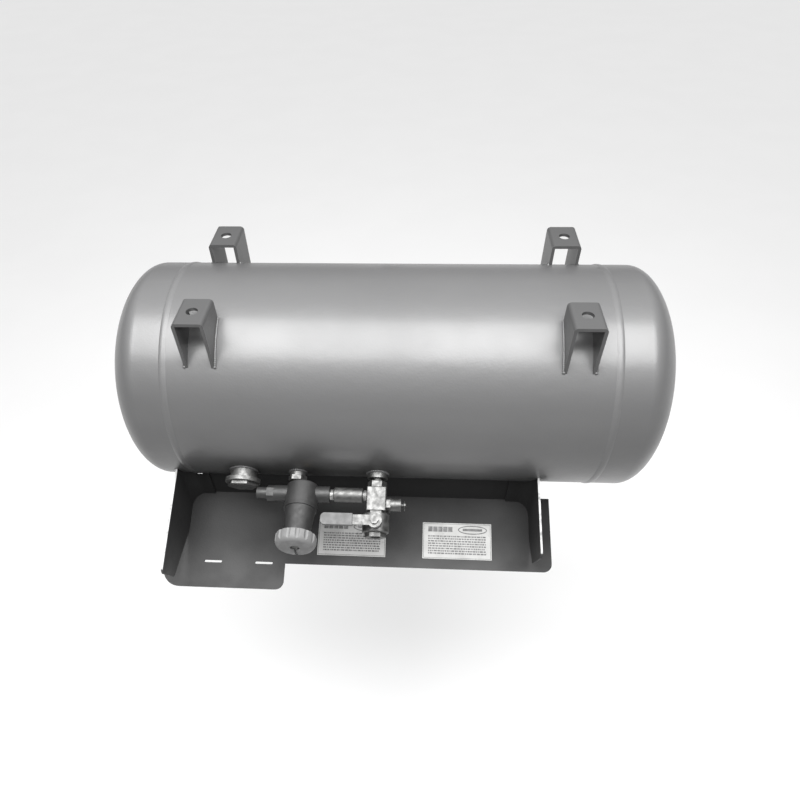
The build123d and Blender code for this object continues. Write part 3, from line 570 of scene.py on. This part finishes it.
class Print:
    """Flat ink shapes gathered on a label, placed in millimetres from its middle."""

    def __init__(self, label):
        self.middle, length, width = label_frame(label)
        self.length, self.width = length / MM, width / MM
        self.label = label
        self.vertices, self.faces = [], []

    def corner(self, x, y):
        """A point of the ink, just above the paper."""
        return self.middle + ALONG * (x * MM) - OUTWARD * (y * MM) + LIFT * (INK_LIFT * MM)

    def bar(self, x, y, length, height):
        """A filled block from its lower left corner."""
        first = len(self.vertices)
        for corner in ((x, y), (x + length, y), (x + length, y + height), (x, y + height)):
            self.vertices.append(self.corner(*corner))
        self.faces.append((first, first + 1, first + 2, first + 3))

    def ring(self, x, y, half_length, half_height, line, sides=48):
        """An oval outline round a middle."""
        first = len(self.vertices)
        inner_length, inner_height = half_length - line, half_height - line
        for i in range(sides):
            turn = 2 * math.pi * i / sides
            across, up = math.cos(turn), math.sin(turn)
            self.vertices.append(self.corner(x + half_length * across, y + half_height * up))
            self.vertices.append(self.corner(x + inner_length * across, y + inner_height * up))
        for i in range(sides):
            a, b = first + 2 * i, first + 2 * ((i + 1) % sides)
            self.faces.append((a, b, b + 1, a + 1))

    def row(self, x, y, length, height, shortest=1.2, longest=5.0, gap=0.9):
        """A row of short bars that stands for a line of small print."""
        end = x + length
        while x < end - shortest:
            piece = min(random.uniform(shortest, longest), end - x)
            self.bar(x, y, piece, height)
            x += piece + gap

    def make(self, material):
        """Makes the gathered shapes one piece."""
        name = f"{self.label}_print"
        mesh_piece(name, self.vertices, self.faces, material, smooth=False)


def ink_look():
    """Dark worn printing ink."""
    look = Shader("ink", (0.045, 0.045, 0.045), 0.5)
    look.tint(look.ramp(look.noise(300, 4), 0.5, 0.8), (0.12, 0.12, 0.12))
    look.vary_roughness(look.noise(200, 2), 0.4, 0.6)
    return look.material


def print_label(label, ink):
    """A heading of solid blocks, an oval mark, a border and rows of small print."""
    sheet = Print(label)
    left, top = -sheet.length / 2, sheet.width / 2
    inset, line = BORDER_INSET, BORDER_LINE
    for y in (-top + inset, top - inset - line):
        sheet.bar(left + inset, y, sheet.length - 2 * inset, line)
    for x in (left + inset, -left - inset - line):
        sheet.bar(x, -top + inset, line, sheet.width - 2 * inset)
    for k in range(HEADING_BLOCKS):
        sheet.bar(left + TEXT_INSET + k * HEADING_PITCH, top - HEADING_DOWN, *HEADING_BLOCK)
    sheet.ring(left + OVAL_ALONG, top - OVAL_DOWN, *OVAL_HALVES, OVAL_LINE)
    sheet.bar(left + OVAL_BAR_ALONG, top - OVAL_BAR_DOWN, *OVAL_BAR)
    row_length = sheet.length - 2 * TEXT_INSET
    for k in range(ROWS):
        sheet.row(left + TEXT_INSET, top - ROW_DOWN - k * ROW_PITCH, row_length, ROW_HEIGHT)
    sheet.make(ink)


def add_label_print():
    """The same generic print on both labels."""
    ink = ink_look()
    print_label("rating_label", ink)
    print_label("caution_label", ink)


# ---------------------------------------------------------------- pipe threads
RIDGE_HALF = 0.45  # half of a ridge's foot, as a share of the pitch
THREAD_INSET = 0.0009


def thread_piece(name, start, end, radius, material, pitch=0.0018, depth=0.0005, sides=48):
    """Helical ridges on a nipple between two places."""
    run = (end - start).normalized()
    side = run.cross(Vector((0.2, 0.9, 0.3))).normalized()
    other = run.cross(side)
    turns = (end - start).length / pitch
    vertices, faces = [], []
    count = int(turns * sides)
    for i in range(count + 1):
        turn = 2 * math.pi * i / sides
        out = side * math.cos(turn) + other * math.sin(turn)
        middle = start + run * (pitch * i / sides)
        for shift, height in ((-RIDGE_HALF, 0.0), (0.0, depth), (RIDGE_HALF, 0.0)):
            vertices.append(middle + run * (shift * pitch) + out * (radius + height))
    for i in range(count):
        for k in range(2):
            a, b = 3 * i + k, 3 * (i + 1) + k
            faces.append((a, b, b + 1, a + 1))
    mesh_piece(name, vertices, faces, material, smooth=False)


def add_threads():
    """Threads on the supply nipples, where they show beside the coupling."""
    steel = bpy.data.materials["plated_steel"]
    coupling_low, coupling_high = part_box("supply_coupling")
    middle = (coupling_low + coupling_high) / 2
    gaps = (
        ("threads_supply_left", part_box("regulator_body")[1].x, coupling_low.x),
        ("threads_supply_right", coupling_high.x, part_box("manifold_block")[0].x),
    )
    nipple_low, nipple_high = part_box("outlet_nipple")
    radius = (nipple_high.x - nipple_low.x) / 2
    for name, left, right in gaps:
        start = Vector((left + THREAD_INSET, middle.y, middle.z))
        end = Vector((right - THREAD_INSET, middle.y, middle.z))
        thread_piece(name, start, end, radius, steel)


# ---------------------------------------------------------------- make everything
add_camera()
add_studio()
add_floor()
dress_cad_nodes()
add_welds()
add_label_print()
add_threads()
